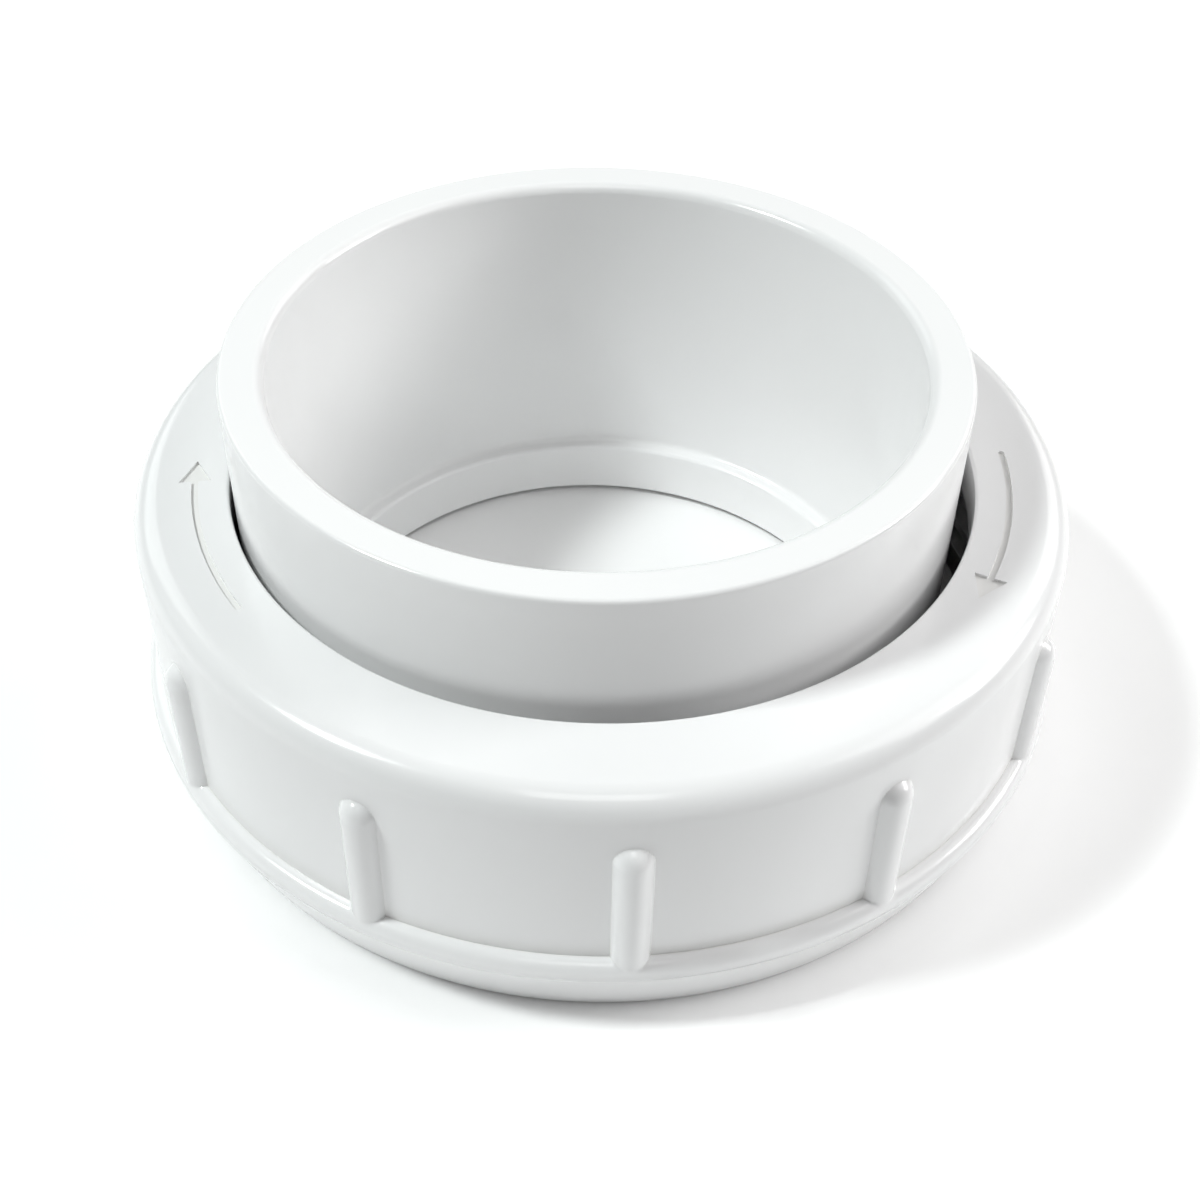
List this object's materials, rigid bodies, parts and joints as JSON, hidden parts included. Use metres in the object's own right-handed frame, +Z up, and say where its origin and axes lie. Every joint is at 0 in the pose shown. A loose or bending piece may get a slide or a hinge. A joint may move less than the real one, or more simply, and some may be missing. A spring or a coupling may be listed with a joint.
{
  "type": "pipe union half",
  "caption": "Half of a pipe union: a plain slip-socket tailpiece standing in its loose ribbed union nut, with a face-seal O-ring under the tailpiece's collar.",
  "frame": {"origin": "middle of the union nut's foot, on the plane that the fitting stands on", "axes": "+Z up along the nut's axis, out of the socket's mouth; -Y towards the viewer; +X to the viewer's right"},
  "size_m": [0.1348, 0.1348, 0.058],
  "materials": {
    "tailpiece_pvc": "gloss moulded white PVC",
    "nut_pvc": "gloss moulded white PVC",
    "seal_rubber": "smooth black rubber"
  },
  "bodies": {
    "tailpiece": {"tailpiece": "tailpiece_pvc"},
    "o_ring": {"o_ring": "seal_rubber"},
    "union_nut": {"union_nut": "nut_pvc"}
  },
  "joints": [
    {"name": "nut_turn", "type": "hinge", "parent": "tailpiece", "child": "o_ring", "pos_m": [-0.00096, 0.00066, 0], "axis": [0, 0, 1], "continuous": true},
    {"name": "nut_slide", "type": "slide", "parent": "o_ring", "child": "union_nut", "axis": [0, 0, 1], "range_m": [-0.0226, 0.062]}
  ]
}
